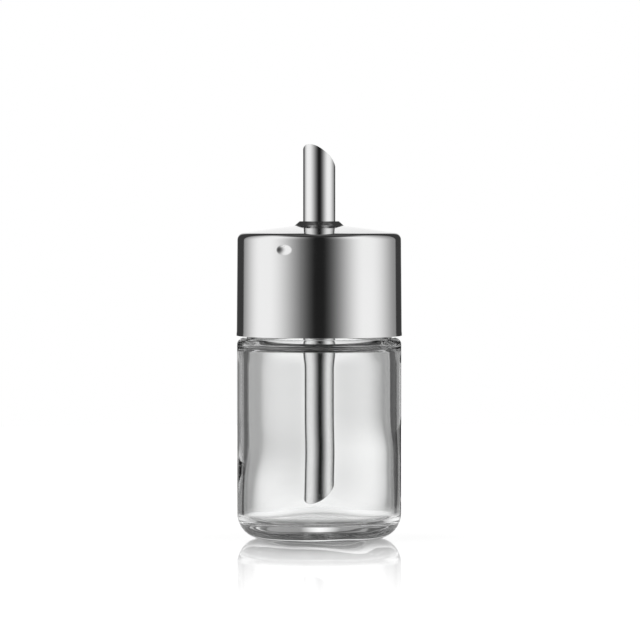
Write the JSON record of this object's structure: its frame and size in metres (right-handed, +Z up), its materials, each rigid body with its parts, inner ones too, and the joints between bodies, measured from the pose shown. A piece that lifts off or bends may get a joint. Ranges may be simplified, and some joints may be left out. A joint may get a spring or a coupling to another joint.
{
  "type": "sugar shaker",
  "caption": "Clear glass sugar shaker with a tall polished steel screw cap and a slant-cut steel dosing tube that runs down through it into the jar",
  "frame": {"origin": "middle of the jar's underside, on the surface that it stands on", "axes": "+Z up along the jar, cap and tube; -Y is the front, which carries the oval grip mark a little to the left"},
  "size_m": [0.0644, 0.0644, 0.1535],
  "materials": {
    "glass": "clear, smooth, slightly uneven blown glass",
    "cap_steel": "polished stainless steel",
    "insert_plastic": "natural moulded plastic",
    "tube_steel": "polished stainless steel tube"
  },
  "bodies": {
    "root": {"jar": "glass", "cap": "cap_steel", "thread_insert": "insert_plastic", "dosing_tube": "tube_steel"}
  },
  "joints": []
}
